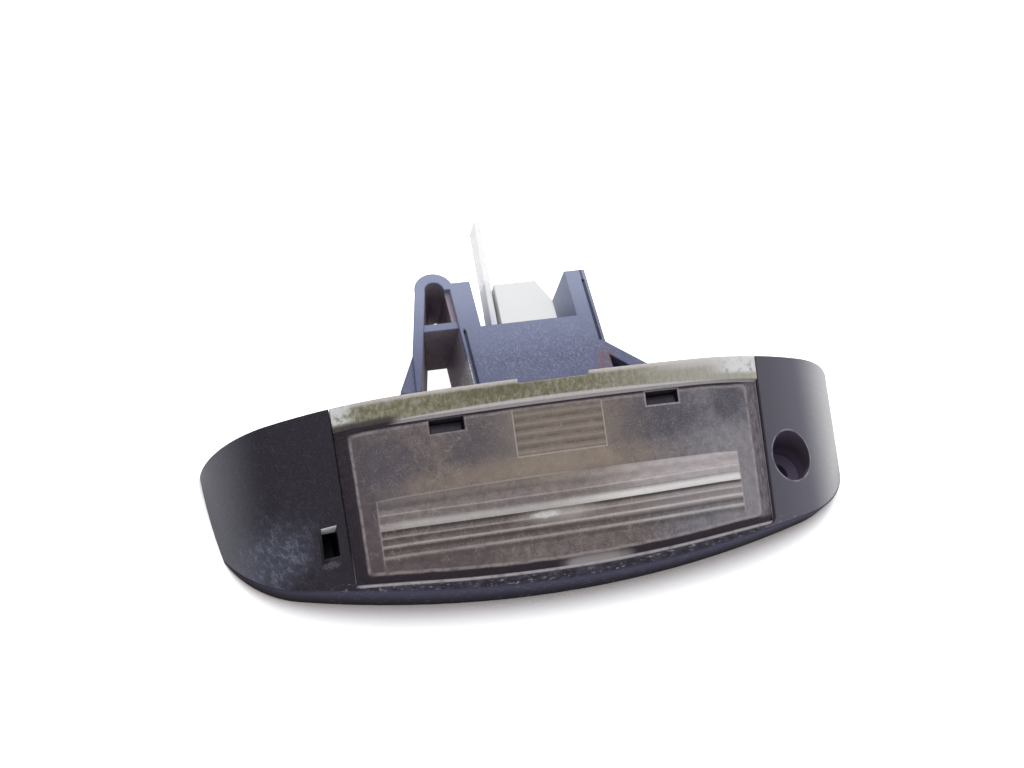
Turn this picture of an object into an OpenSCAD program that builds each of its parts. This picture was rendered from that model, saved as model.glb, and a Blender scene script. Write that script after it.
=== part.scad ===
// Rear number plate lamp: a crescent-shaped moulded housing with a clear lens across its middle,
// a tower with a snap clip that pushes into the panel, and a bulb holder seated in the tower.
// X runs along the lamp, +Y is the way it pushes into the panel, +Z is the side that is seen.

/* [Housing] */
// Overall length of the lamp
lamp_length = 139; // [125:1:155]
// Height of the crown of the face above the back rim
crown_height = 26; // [25:0.5:30]
// Fall of the face away from the panel, in degrees
face_slope = 23.8; // [20:0.1:26]
// Radius of the face across its middle
face_radius = 660; // [500:10:900]
// Length of the middle stretch of the face
face_span = 60; // [50:1:70]
// Radius of the two shoulders of the face
shoulder_radius = 84; // [70:1:100]
// Radius of the two ends of the face
end_radius = 20; // [18.5:0.5:20.5]
// Reach of the nose below the panel face
nose_reach = 36.3; // [35:0.1:40]
// Radius of the nose outline
nose_radius = 225; // [200:5:280]
// Radius of the two lower corners of the outline
corner_radius = 20; // [14:0.5:22]
// Draft of the nose wall, in degrees
nose_draft = 5; // [2:0.5:7]
// Wall of the moulded shell
wall = 2.2; // [1.6:0.1:2.6]
// Wall that faces the panel
panel_wall = 2.5; // [2:0.1:3]

/* [Lens] */
// Width of the lens
lens_width = 90; // [84:0.5:94]
// Taper of each side of the lens towards the nose
lens_taper = 0.7; // [0:0.1:1.5]
// Reach of the lens below the panel face
lens_reach = 35.1; // [33:0.1:35.4]
// Radius of the lower edge of the lens
lens_edge_radius = 307; // [260:1:400]
// Radius of the two lower corners of the lens
lens_corner = 1.5; // [0.8:0.1:2]
// Width of the finger notch in the top edge of the lens
lens_notch = 15; // [10:1:20]
// Depth of the finger notch
lens_notch_depth = 0.8; // [0.4:0.1:1]
// Depth of the lens below the face of the housing
lens_sink = 0.8; // [0.4:0.1:1.2]
// Thickness of the lens
lens_thickness = 2.2; // [1.8:0.1:2.6]
// Clear band between the panel face and the wall inside the lens
strip_height = 3.6; // [3.2:0.1:4]
// Height of the raised band along the top of the lens
band_height = 4.4; // [4:0.1:5]
// Width of the lens flange at each side
side_flange = 2.6; // [2.2:0.1:3.2]
// Width of the lens flange at the nose
nose_flange = 2; // [1.8:0.1:2.4]
// Depth of the wall inside the lens
lens_skirt = 2.2; // [1.6:0.1:2.4]
// Thickness of the wall inside the lens
skirt_wall = 1.2; // [1:0.1:1.4]
// Distance of each catch window from the middle
window_x = 22.7; // [20:0.1:26]
// Width of each catch window
window_width = 7; // [5:0.1:8]
// Height of each catch window
window_height = 2.4; // [2:0.1:3]
// Number of long prism ribs
prism_count = 6; // [3:1:8]
// Distance of the ends of the long ribs from the sides of the lens
prism_margin = 7; // [6:0.5:12]
// Spacing of the long prism ribs
prism_pitch = 2.1; // [1.6:0.1:2.3]
// Radius of the long prism ribs in plan
prism_radius = 650; // [400:50:900]
// Height of the prism ribs
prism_height = 0.8; // [0.4:0.1:1.2]
// Width of the ribbed field in front of the bulb
field_width = 18.6; // [14:0.1:24]
// Number of ribs in front of the bulb
field_count = 5; // [3:1:6]
// Spacing of the ribs in front of the bulb
field_pitch = 1.7; // [1.4:0.1:1.9]
// Thickness of the lens seal
seal_thickness = 0.6; // [0.4:0.1:1]

/* [Light chamber] */
// Wall of the light chamber at each end
chamber_wall = 3.4; // [2.8:0.1:4]
// Thickness of the chamber floor
floor_thickness = 2; // [1.6:0.1:2.4]
// Height of the chamber floor above the back rim
floor_height = 1.2; // [0.8:0.1:1.6]

/* [Fixing] */
// Distance of the screw from the middle of the lamp
screw_x = 50.9; // [50:0.1:53]
// Distance of the screw below the panel face
screw_y = 19.2; // [17:0.1:21]
// Diameter of the counterbore for the screw head
head_bore = 9.6; // [8:0.1:10]
// Diameter of the screw hole
screw_bore = 4.8; // [3.5:0.1:5.5]
// Height of the seat under the screw head
screw_seat = 3.5; // [3:0.5:8]
// Outside diameter of the screw boss
boss_diameter = 13.4; // [12.6:0.1:14]
// Distance of the release slot from the middle
slot_x = 48; // [48:0.1:52]
// Distance of the release slot below the panel face
slot_y = 23.1; // [20:0.1:24]
// Width of the release slot
slot_width = 3; // [2:0.1:3.4]
// Length of the release slot
slot_length = 5.2; // [4:0.1:6]

/* [Tower] */
// Width of the tower
tower_width = 29.8; // [28:0.1:32]
// Height of the tower above the panel face
tower_height = 26.6; // [24:0.1:30]
// Height of the front of the tower above the back rim
tower_front = 20.7; // [20:0.1:20.8]
// Depth of the tower from front to back
tower_depth = 17.3; // [16.6:0.1:17.8]
// Thickness of the front wall of the tower
tower_wall = 2.2; // [1.8:0.1:2.4]
// Width of the notch between the teeth
notch_width = 20.8; // [19.6:0.1:22]
// Depth of the notch
notch_depth = 10.9; // [8:0.1:12]
// Width of the groove beside each edge of the tower
groove = 0.6; // [0.4:0.1:1]

/* [Snap clip] */
// Thickness of the leg and of the loop of the clip
clip_wall = 2.1; // [1.6:0.1:2.4]
// Inside radius of the loop
loop_radius = 2; // [1.6:0.1:2.4]
// Height of the centre of the loop above the panel face
loop_height = 25.2; // [23:0.1:27]
// Spread of the foot of the leg away from the tower
leg_spread = 5.4; // [4:0.1:7]
// Gap between the foot and the panel face
foot_gap = 2.4; // [1:0.1:2.6]
// Reach of the latch beyond the leg
latch_reach = 2.2; // [1.4:0.1:3]
// Height of the latch above the foot
latch_height = 8.4; // [7:0.1:10]
// Step from the front of the leg down to the latch and the rung
clip_step = 0.5; // [0.2:0.1:1]
// Step from the front of the tower down to the rail that carries the loop
rail_step = 1.2; // [0.8:0.1:2]
// Height of the rung above the panel face
rung_height = 16; // [14:0.1:18]
// Thickness of the rung
rung_thickness = 1.6; // [1.2:0.1:2]
// Lean of the clip from front to back, in degrees
clip_lean = 11; // [6:0.5:12]
// Reach of the wedge on the other side of the tower
wedge_reach = 10.4; // [8:0.1:13]
// Height of the wedge on the other side of the tower
wedge_height = 8.8; // [7:0.1:11]

/* [Bulb and holder] */
// Diameter of the bulb
bulb_diameter = 10; // [9:0.1:10.3]
// Length of the bulb over all
bulb_length = 26.5; // [24:0.1:27]
// Reach of the bulb below the panel face
bulb_reach = 16.5; // [14:0.1:17]
// Width of the wedge foot of the bulb
foot_width = 9; // [8.5:0.1:9.4]
// Thickness of the wedge foot of the bulb
foot_thickness = 2.4; // [2.2:0.1:2.6]
// Thickness of the glass
glass_wall = 0.8; // [0.6:0.1:1]
// Diameter of the lead wires
lead_diameter = 0.5; // [0.4:0.05:0.6]
// Distance of each lead wire from the axis of the bulb
lead_x = 1.6; // [1.4:0.1:1.8]
// Length of the lead wire folded back along the foot
lead_fold = 5; // [4:0.1:6]
// Diameter of the filament coil
coil_diameter = 0.8; // [0.6:0.1:1]
// Distance of the filament below the panel face
filament_reach = 9.5; // [8:0.1:11]
// Height of the axis of the bulb above the back rim
bulb_axis = 10; // [9.5:0.1:10.4]
// Height of the holder above the panel face
holder_height = 27.2; // [25:0.1:29]
// Depth of the holder from front to back
holder_depth = 13.8; // [13:0.1:14.4]
// Reach of the holder below the panel face
holder_nose = 3.2; // [2.6:0.1:3.3]
// Width of the head of the holder
head_width = 13; // [12:0.1:14]
// Distance of the head of the holder off the middle
head_shift = 0.9; // [0:0.1:2]
// Thickness of the release tab
tab_thickness = 1.3; // [1:0.1:1.6]
// Depth of the release tab from front to back
tab_depth = 5; // [4:0.1:6]
// Height of the release tab above the panel face
tab_height = 44; // [38:0.5:48]
// Width of the contact blades
blade_width = 2.8; // [2.4:0.1:3]
// Thickness of the contact blades
blade_thickness = 0.5; // [0.4:0.1:0.8]
// Height of the contact blades above the panel face
blade_height = 22.5; // [20:0.1:24]
// Distance of each blade from the middle of the head
blade_shift = 1.5; // [1.3:0.1:1.7]
// Clearance between the holder and the housing
fit_gap = 0.3; // [0.1:0.05:0.4]
// Clearance round a contact and round the foot of the bulb
slot_gap = 0.1; // [0.05:0.05:0.2]

/* [Hidden] */

over = 1;
half_length = lamp_length / 2;
face_half = face_span / 2;
shoulder_start = asin(face_half / face_radius);
shoulder_end = asin((half_length - face_half + shoulder_radius * sin(shoulder_start) - end_radius)
    / (shoulder_radius - end_radius));
shoulder_x = (face_radius - shoulder_radius) * sin(shoulder_start);
shoulder_v = (face_radius - shoulder_radius) * cos(shoulder_start) - face_radius;
end_x = half_length - end_radius;
end_v = shoulder_v + (shoulder_radius - end_radius) * cos(shoulder_end);
nose_centre = nose_radius - nose_reach;
corner_x = half_length - corner_radius;
corner_y = nose_centre - sqrt(pow(nose_radius - corner_radius, 2) - pow(corner_x, 2));
outline_height = crown_height + over;
draft_gain = outline_height * tan(nose_draft);

lens_half = lens_width / 2;
lens_gap = 0.2;
lens_corner_x = lens_half - lens_taper - lens_corner;
lens_corner_y = lens_edge_radius - lens_reach
    - sqrt(pow(lens_edge_radius - lens_corner, 2) - pow(lens_corner_x, 2));
lens_under = lens_sink + lens_thickness;
lens_seat = lens_under + seal_thickness;
cavity_half = lens_half - side_flange + lens_gap;
chamber_half = cavity_half + chamber_wall;
cavity_floor = floor_height + floor_thickness;
window_top = strip_height + skirt_wall + lens_gap;
lug_width = window_width - 2 * lens_gap;
rib_share = 0.6;
prism_inset = 3;
prism_start = lens_reach - nose_flange - prism_inset - prism_count * prism_pitch;
field_start = window_top + 1;

tower_half = tower_width / 2;
notch_half = notch_width / 2;
notch_floor = tower_height - notch_depth;
tower_back = tower_front - tower_depth;
channel_front = tower_front - tower_wall;
holder_front = channel_front - fit_gap;
holder_back = holder_front - holder_depth;
rail = 1.3;
foot_lip = 0.4;
wedge_heel = 2.2;
loop_x = -tower_half - rail - loop_radius;
leg_top_x = loop_x - loop_radius - clip_wall;
leg_foot_x = leg_top_x - leg_spread;

body_half = notch_half - fit_gap;
head_left = head_shift - head_width / 2;
head_right = head_shift + head_width / 2;
shoulder_top = notch_floor + 4.5;
socket_width = 9;
socket_depth = 7;
socket_floor = notch_floor + 1.5;
bulb_foot_top = bulb_length - bulb_reach;
bulb_neck = 3.2;
neck_diameter = 8.4;
cup_diameter = bulb_diameter + 2 * fit_gap;
lead_offset = (foot_thickness + slot_gap + lead_diameter) / 2;
blade_offset = lead_offset + (lead_diameter + slot_gap) / 2;
fold_room = lead_offset / 2 + lead_diameter + slot_gap;

// Section of the face across the lamp: five arcs that meet smoothly, all moved in by inset
module face_profile(inset) {
    difference() {
        intersection() {
            translate([0, -face_radius]) circle(r = face_radius - inset, $fn = 720);
            translate([inset - half_length, -2 * crown_height - inset])
                square([lamp_length - 2 * inset, 3 * crown_height]);
        }
        for (side = [-1, 1]) {
            arc_cut(side, shoulder_x, shoulder_v, shoulder_start, shoulder_radius - inset, 360);
            arc_cut(side, end_x, end_v, shoulder_end, end_radius - inset, 144);
        }
    }
}

// Waste outside a disc, from a direction off straight up to the level of its centre
module arc_cut(side, x, v, from, radius, facets) {
    difference() {
        polygon([[side * x, v], [side * (x + lamp_length * sin(from)), v + lamp_length * cos(from)],
            [side * 2 * lamp_length, v + lamp_length * cos(from)], [side * 2 * lamp_length, v]]);
        translate([side * x, v]) circle(r = radius, $fn = facets);
    }
}

// Solid under the face, moved in by inset
module face_block(inset) {
    translate([0, 0, crown_height]) rotate([90 + face_slope, 0, 0])
        linear_extrude(height = 2 * (lamp_length + inset), center = true) face_profile(inset);
}

// Layer that follows the face, from one depth below it to another
module face_layer(from, to) {
    difference() {
        face_block(from);
        face_block(to);
    }
}

// Solid inside the nose wall and the end walls, moved in by inset
module outline_block(inset) {
    difference() {
        intersection() {
            translate([0, nose_centre, 0]) cylinder(h = outline_height, r1 = nose_radius - inset,
                r2 = nose_radius - inset + draft_gain, $fn = 720);
            translate([inset - half_length, -lamp_length, 0])
                cube([lamp_length - 2 * inset, lamp_length, outline_height]);
        }
        for (side = [-1, 1]) corner_cut(side, inset);
    }
}

// Waste outside one lower corner, between the end wall and the nose wall
module corner_cut(side, inset) {
    difference() {
        slab(-over, outline_height + over)
            polygon([[side * corner_x, corner_y], [side * lamp_length, corner_y],
                [side * lamp_length, -lamp_length],
                [side * corner_x * 4, 4 * corner_y - 3 * nose_centre]]);
        translate([side * corner_x, corner_y, 0]) cylinder(h = outline_height,
            r1 = corner_radius - inset, r2 = corner_radius - inset + draft_gain, $fn = 144);
    }
}

// Everything between the panel plane, moved down by top, and the nose
module shell_block(inset, top) {
    intersection() {
        face_block(inset);
        outline_block(inset);
        translate([-lamp_length, -lamp_length - top, 0])
            cube([2 * lamp_length, lamp_length, outline_height]);
    }
}

module slab(low, high) {
    translate([0, 0, low]) linear_extrude(height = high - low) children();
}

// Points of one side of the lens, from turn start to turn end round its lower corner, grown by gap
function corner_points(side, start, end, gap) = [for (turn = [start : (end - start) / 6 : end])
    [side * (lens_corner_x + (lens_corner + gap) * cos(turn)),
    lens_corner_y - (lens_corner + gap) * sin(turn)]];

// Outline of the lens, grown by gap
module lens_outline(gap) {
    low_x = lens_corner_x - 3 * lens_corner;
    low_y = lens_corner_y - 3 * lens_corner;
    intersection() {
        polygon(concat([[-lens_half - gap, over], [lens_half + gap, over]],
            corner_points(1, 0, 72, gap),
            [[low_x, low_y], [low_x, -2 * lens_reach], [-low_x, -2 * lens_reach], [-low_x, low_y]],
            corner_points(-1, 72, 0, gap)));
        translate([0, lens_edge_radius - lens_reach])
            circle(r = lens_edge_radius + gap, $fn = 720);
    }
}

// Outline of the clear window, moved in by gap
module window_outline(gap) {
    intersection() {
        translate([gap - cavity_half, -lens_reach])
            square([2 * (cavity_half - gap), lens_reach - strip_height - gap]);
        translate([0, lens_edge_radius - lens_reach])
            circle(r = lens_edge_radius - nose_flange - gap, $fn = 720);
    }
}

// One moulding: shell, light chamber, screw boss, catches, tower, clip and wedge
module housing() {
    color([0.17, 0.17, 0.2]) {
        difference() {
            shell_block(0, 0);
            end_hollows();
            light_cavity();
            lens_pocket();
            holder_port();
            chamber_relief();
            screw_hole();
            release_slot();
        }
        catches();
        tower();
        snap_clip();
        guide_wedge();
    }
}

// Hollows behind both ends of the face, round the screw boss
module end_hollows() {
    difference() {
        translate([0, 0, -over / 2]) shell_block(wall, panel_wall);
        translate([-chamber_half, -lamp_length, -over])
            cube([2 * chamber_half, lamp_length, 2 * crown_height]);
        translate([screw_x, -screw_y, -over])
            cylinder(h = 2 * crown_height, d = boss_diameter, $fn = 96);
    }
}

// Room round the bulb, open towards the lens
module light_cavity() {
    slab(cavity_floor, outline_height) {
        window_outline(0);
        translate([-cavity_half, -lens_reach / 2])
            square([2 * cavity_half, lens_reach / 2 - panel_wall]);
    }
}

// Seat of the lens and its seal, and the low edge of the panel wall behind the clear band
module lens_pocket() {
    difference() {
        slab(0, outline_height) lens_outline(lens_gap);
        face_block(lens_seat);
    }
    translate([-cavity_half, -panel_wall - over, channel_front])
        cube([2 * cavity_half, panel_wall + 2 * over, crown_height]);
}

// Way for the bulb and the holder through the panel wall
module holder_port() {
    translate([-notch_half, -panel_wall - over, holder_back - fit_gap])
        cube([notch_width, panel_wall + 2 * over, holder_depth + 2 * fit_gap]);
}

// Step that keeps the chamber floor off the panel behind it
module chamber_relief() {
    translate([-cavity_half, -lens_reach + 2 * nose_flange, -over])
        cube([2 * cavity_half, lens_reach - 2 * nose_flange - panel_wall, floor_height + over]);
}

module screw_hole() {
    translate([screw_x, -screw_y, -over])
        cylinder(h = crown_height, d = screw_bore, $fn = 96);
    translate([screw_x, -screw_y, screw_seat])
        cylinder(h = crown_height, d = head_bore, $fn = 96);
}

module release_slot() {
    translate([-slot_x - slot_width / 2, -slot_y - slot_length / 2, over])
        cube([slot_width, slot_length, crown_height]);
}

// Lugs on the panel wall that reach under the lens and stand in its windows
module catches() {
    for (side = [-1, 1])
        translate([side * window_x, 0, 0]) catch_lug();
}

module catch_lug() {
    low_edge = window_top + window_height - lens_gap;
    arm_top = crown_height - low_edge * tan(face_slope) - lens_seat / cos(face_slope) - over;
    translate([-lug_width / 2, -low_edge, arm_top - panel_wall])
        cube([lug_width, low_edge - panel_wall / 2, panel_wall]);
    translate([-lug_width / 2, -low_edge, arm_top - over])
        cube([lug_width, window_height - 2 * lens_gap, over + lens_thickness + seal_thickness]);
}

// Channel with two teeth that carries the bulb holder
module tower() {
    difference() {
        union() {
            slab(channel_front, tower_front) difference() {
                translate([-tower_half, -panel_wall])
                    square([tower_width, tower_height + panel_wall]);
                translate([-notch_half, notch_floor]) square([notch_width, tower_height]);
            }
            for (side = [-1, 1])
                translate([side > 0 ? notch_half : -tower_half, -panel_wall, tower_back])
                    cube([tower_half - notch_half, tower_height + panel_wall, tower_depth]);
        }
        translate([-tower_half + groove, groove, tower_front - groove])
            cube([groove, notch_floor - 2 * groove, tower_depth]);
        translate([tower_half - 2 * groove, wedge_height + groove, tower_front - groove])
            cube([groove, tower_height - wedge_height - 5 * groove, tower_depth]);
    }
}

// Left edge of the leg of the clip at a height above the panel face
function leg_x(height) =
    leg_foot_x + leg_spread * (height - foot_gap) / (loop_height - foot_gap);

// Hairpin that springs in behind the panel, with a rung across it and a latch on its leg
module snap_clip() {
    leaning_prism(tower_front) {
        clip_loop();
        clip_leg();
    }
    leaning_prism(tower_front - clip_step) {
        clip_latch();
        clip_rung();
    }
    leaning_prism(tower_front - rail_step) translate([-tower_half - rail, rung_height])
        square([2 * rail, loop_height - rung_height]);
}

// Prism that leans towards the tower on its way back, cut level at both ends
module leaning_prism(top) {
    intersection() {
        slab(tower_back, top) translate([-tower_width, 0])
            square([tower_width - notch_half - rail, tower_width]);
        translate([loop_x, 0, tower_front]) rotate([0, -clip_lean, 0])
            linear_extrude(height = 3 * tower_depth, center = true)
                translate([-loop_x, 0]) union() children();
    }
}

module clip_loop() {
    translate([loop_x, loop_height]) difference() {
        circle(r = loop_radius + clip_wall, $fn = 96);
        circle(r = loop_radius, $fn = 64);
        translate([-tower_width, -2 * tower_width]) square(2 * tower_width);
    }
}

module clip_leg() {
    polygon([[leg_top_x, loop_height], [leg_top_x + clip_wall, loop_height],
        [leg_foot_x + clip_wall, foot_gap], [leg_foot_x + clip_wall / 2, foot_gap],
        [leg_x(foot_gap + latch_height), foot_gap + latch_height]]);
}

module clip_latch() {
    top = foot_gap + latch_height;
    polygon([[leg_x(top), top], [leg_foot_x + clip_wall, foot_gap],
        [leg_foot_x, foot_gap], [leg_foot_x - latch_reach, foot_gap + foot_lip]]);
}

module clip_rung() {
    top = rung_height + rung_thickness;
    polygon([[leg_x(rung_height) + clip_wall / 2, rung_height], [-tower_half + rail, rung_height],
        [-tower_half + rail, top], [leg_x(top) + clip_wall / 2, top]]);
}

// Sloping brace on the far side of the tower
module guide_wedge() {
    foot = tower_half + wedge_reach;
    slab(tower_back, tower_front)
        polygon([[tower_half - over, wedge_height + over / 2], [tower_half, wedge_height],
            [foot - over / 2, over / 2], [foot - over / 2, -over / 2],
            [foot - 3 * clip_wall, -over / 2], [foot - 3 * clip_wall, wedge_heel],
            [tower_half - over, wedge_height - clip_wall]]);
}

// Clear cover: curved plate, wall round the inside, prism ribs and two catch windows
module lens() {
    color([0.8, 0.82, 0.8, 0.5]) difference() {
        union() {
            lens_plate();
            intersection() {
                slab(0, outline_height) difference() {
                    window_outline(lens_gap);
                    window_outline(lens_gap + skirt_wall);
                    for (side = [-1, 1])
                        translate([side * window_x - window_width / 2, -window_top])
                            square([window_width, window_top]);
                }
                face_layer(lens_under - lens_gap / 2, lens_under + lens_skirt);
            }
            intersection() {
                slab(0, outline_height) rib_fields();
                face_layer(lens_under - lens_gap / 2, lens_under + prism_height);
            }
        }
        for (side = [-1, 1])
            translate([side * window_x - window_width / 2, -window_top - window_height, 0])
                cube([window_width, window_height, 2 * crown_height]);
    }
}

// Plate that is sunk below the face of the housing, but level with it in the band along its top
module lens_plate() {
    difference() {
        union() {
            intersection() {
                slab(0, outline_height) lens_plan(2 * lens_reach);
                face_block(lens_sink);
            }
            intersection() {
                slab(0, outline_height) lens_plan(band_height);
                face_block(0);
            }
        }
        face_block(lens_under);
    }
}

// Outline of the lens with its finger notch, from the panel face down to reach
module lens_plan(reach) {
    difference() {
        intersection() {
            lens_outline(0);
            translate([-lens_width, -reach]) square([2 * lens_width, reach]);
        }
        translate([-lens_notch / 2, -lens_notch_depth]) square([lens_notch, lens_width]);
    }
}

// Ribs that spread the light: long ones along the nose, short ones in front of the bulb
module rib_fields() {
    intersection() {
        translate([prism_margin - lens_half, -lens_reach])
            square([lens_width - 2 * prism_margin, lens_reach]);
        for (i = [0 : prism_count - 1])
            translate([0, prism_radius - prism_start - (i + rib_share) * prism_pitch]) difference() {
                circle(r = prism_radius, $fn = 720);
                circle(r = prism_radius - rib_share * prism_pitch, $fn = 720);
            }
    }
    for (i = [0 : field_count - 1])
        translate([-field_width / 2, -field_start - (i + rib_share) * field_pitch])
            square([field_width, rib_share * field_pitch]);
}

// Soft seal under the sides and the nose edge of the lens
module lens_seal() {
    color([0.05, 0.05, 0.05]) intersection() {
        slab(0, outline_height) difference() {
            lens_outline(-lens_gap);
            window_outline(-lens_gap);
            translate([-cavity_half - lens_gap, -lens_reach / 2])
                square([2 * (cavity_half + lens_gap), lens_reach]);
            translate([-lens_width, -strip_height / 4]) square([2 * lens_width, lens_width]);
        }
        face_layer(lens_under + slot_gap / 2, lens_seat - slot_gap / 2);
    }
}

// White holder: body in the tower, head with the connector socket, release tab
module bulb_holder() {
    color([0.92, 0.92, 0.9]) difference() {
        union() {
            translate([-body_half, -holder_nose, holder_back])
                cube([2 * body_half, holder_nose + notch_floor - fit_gap, holder_depth]);
            translate([-body_half, 0, holder_back])
                cube([body_half + head_left + over, shoulder_top, holder_depth / 2]);
            slab(holder_back, holder_front - over) holder_head();
            slab(bulb_axis + over, bulb_axis + over + tab_depth) release_tab();
        }
        bulb_seat();
        contact_slots();
        translate([head_shift - socket_width / 2, socket_floor, bulb_axis - socket_depth / 2])
            cube([socket_width, holder_height, socket_depth]);
    }
}

module holder_head() {
    slant = 0.2 * head_width;
    polygon([[head_left, 0], [head_right, 0], [head_right, holder_height - 2 * slant],
        [head_right - slant, holder_height], [head_left + slant / 2, holder_height]]);
}

module release_tab() {
    lean = 0.077 * (tab_height - notch_floor);
    polygon([[head_left - tab_thickness, notch_floor - over], [head_left, notch_floor - over],
        [head_left + lean, tab_height], [head_left + lean - tab_thickness, tab_height]]);
}

// Cup for the neck of the bulb and slot for its wedge foot
module bulb_seat() {
    translate([0, -holder_nose - over, bulb_axis]) rotate([-90, 0, 0])
        cylinder(h = holder_nose + over + bulb_neck, d = cup_diameter, $fn = 96);
    seat_half = blade_offset + blade_thickness + slot_gap;
    translate([-foot_width / 2 - slot_gap, 0, bulb_axis - seat_half])
        cube([foot_width + 2 * slot_gap, bulb_foot_top + fold_room, 2 * seat_half]);
}

module contact_slots() {
    for (side = [-1, 1])
        translate([head_shift + side * blade_shift - blade_width / 2 - slot_gap, bulb_neck,
                bulb_axis + side * (blade_offset + blade_thickness / 2) - blade_thickness / 2 - slot_gap])
            cube([blade_width + 2 * slot_gap, holder_height, blade_thickness + 2 * slot_gap]);
}

// Hollow glass with a flat wedge foot and a hole through the foot for each lead wire
module bulb_glass() {
    color([0.9, 0.92, 0.95, 0.6]) translate([0, 0, bulb_axis]) rotate([-90, 0, 0]) difference() {
        union() {
            glass_body(0);
            cylinder(h = bulb_neck - fit_gap, d1 = bulb_diameter, d2 = neck_diameter, $fn = 96);
            translate([-foot_width / 2, -foot_thickness / 2, 0])
                cube([foot_width, foot_thickness, bulb_foot_top]);
        }
        glass_body(glass_wall);
        for (side = [-1, 1])
            translate([side * lead_x, 0, -2 * glass_wall])
                cylinder(h = bulb_length, d = lead_diameter + slot_gap, $fn = 32);
    }
}

// Round-ended tube along the axis of the bulb, moved in by inset
module glass_body(inset) {
    centre = bulb_diameter / 2 - bulb_reach;
    translate([0, 0, centre]) {
        sphere(r = bulb_diameter / 2 - inset, $fn = 96);
        cylinder(h = -centre - inset, r = bulb_diameter / 2 - inset, $fn = 96);
    }
}

// Coil that glows, between the inner ends of the two lead wires
module filament() {
    span = 2 * lead_x - lead_diameter - slot_gap;
    color([0.35, 0.35, 0.38]) translate([-span / 2, -filament_reach, bulb_axis])
        rotate([0, 90, 0]) cylinder(h = span, d = coil_diameter, $fn = 32);
}

// Wire from the filament through the foot, folded back along one side of it
module lead_wire(side) {
    bend_y = bulb_foot_top + slot_gap / 2;
    color([0.7, 0.7, 0.72]) translate([side * lead_x, 0, bulb_axis]) {
        translate([0, -filament_reach - coil_diameter / 2, 0]) rotate([-90, 0, 0])
            cylinder(h = filament_reach + coil_diameter / 2 + bend_y, d = lead_diameter, $fn = 32);
        translate([0, bend_y, side * lead_offset / 2]) rotate([0, -90, 0])
            rotate_extrude(angle = 180, $fn = 64) translate([lead_offset / 2, 0])
                circle(d = lead_diameter, $fn = 32);
        translate([0, bend_y - lead_fold, side * lead_offset]) rotate([-90, 0, 0])
            cylinder(h = lead_fold, d = lead_diameter, $fn = 32);
    }
}

// Contact strip: finger beside the foot of the bulb, blade with a pointed end in the socket
module contact_strip(side) {
    finger = bulb_neck + 1.2;
    tip = blade_width / 4;
    middle = head_shift + side * blade_shift;
    color([0.8, 0.65, 0.3])
        translate([middle, 0, bulb_axis + side * (blade_offset + blade_thickness / 2)])
            linear_extrude(height = blade_thickness, center = true)
                polygon([[-blade_width / 2, finger], [blade_width / 2, finger],
                    [blade_width / 2, blade_height - tip], [tip, blade_height],
                    [-tip, blade_height], [-blade_width / 2, blade_height - tip]]);
}

housing();
lens();
lens_seal();
bulb_holder();
bulb_glass();
filament();
lead_wire(1);  // lead_front
lead_wire(-1);  // lead_back
contact_strip(1);  // contact_front
contact_strip(-1);  // contact_back
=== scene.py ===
import math

import bmesh
import bpy
from mathutils import Matrix, Vector

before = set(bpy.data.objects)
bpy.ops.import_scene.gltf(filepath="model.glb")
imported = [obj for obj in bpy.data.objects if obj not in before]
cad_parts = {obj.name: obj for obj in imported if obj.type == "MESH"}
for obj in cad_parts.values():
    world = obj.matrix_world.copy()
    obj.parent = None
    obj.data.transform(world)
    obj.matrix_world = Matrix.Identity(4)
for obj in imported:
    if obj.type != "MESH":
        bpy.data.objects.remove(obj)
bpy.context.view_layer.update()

# Sizes of the lamp in millimetres, as in the part's source
LENS_HALF = 45.0
LENS_TAPER = 0.0194
LENS_EDGE_RADIUS = 307.0
LENS_EDGE_CENTRE = 271.9
TOWER_LEFT = -14.9
TOWER_FRONT = 20.7
SLOT_TOP = -20.5
SLOT_TOP_Z = 12.8
SLOT_SLOPE = 0.36
SLOT_X = -48.0
SCREW_X = 50.9
SCREW_Y = -19.2
SCREW_BORE = 4.9
WINDOW_X = 22.7
WINDOW_HALF = 3.6
WINDOW_TOP = -4.97
WINDOW_BOTTOM = -7.43
BAND_HEIGHT = 4.45
RIBS_LEFT = -38.3
RIBS_RIGHT = 37.8
RIBS_TOP = -17.6
RIBS_BOTTOM = -29.6
RIBS_PITCH = 2.1
SHORT_LEFT = -9.3
SHORT_RIGHT = 9.5
SHORT_TOP = -5.3
SHORT_BOTTOM = -13.8
SHORT_PITCH = 1.7
NOSE_CENTRE = 188.7
NOSE_RADIUS = 225.0
NOSE_DRAFT = 0.0875
CORNER_X = 49.5
CORNER_Y = -10.2
CORNER_RADIUS = 20.0
CORNER_START = 54.3

# Camera: place in metres, its three axes and the focal length in millimetres
CAMERA_PLACE = (-0.092107, -0.133648, 0.288190)
CAMERA_RIGHT = (0.95469507, -0.2326619, 0.18554183)
CAMERA_UP = (0.11919004, 0.87025036, 0.47797285)
CAMERA_BACK = (-0.27267391, -0.43420358, 0.85855471)
CAMERA_LENS = 54.35

# Floor in metres: half its side, its gap below the lamp, and how far the lamp shades it
FLOOR_HALF = 3.0
FLOOR_GAP = 0.0002
SHADE_REACH = 0.013

# Area lamps: name, place and side in metres, watts, colour
LAMPS = (
    ("window", (0.35, 0.75, 0.85), 0.7, 6.4, (1.0, 0.99, 0.97)),
    ("ceiling", (-0.35, 0.25, 1.1), 1.0, 4.4, (0.97, 0.98, 1.0)),
)

# Strength of the room's light along one axis: axis, its low and high end, strength at each
UP_LIGHT = (2, 0.75, 0.1, 0.26, 0.6)
RIGHT_LIGHT = (0, 0.2, 0.9, 1.0, 1.6)

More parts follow.
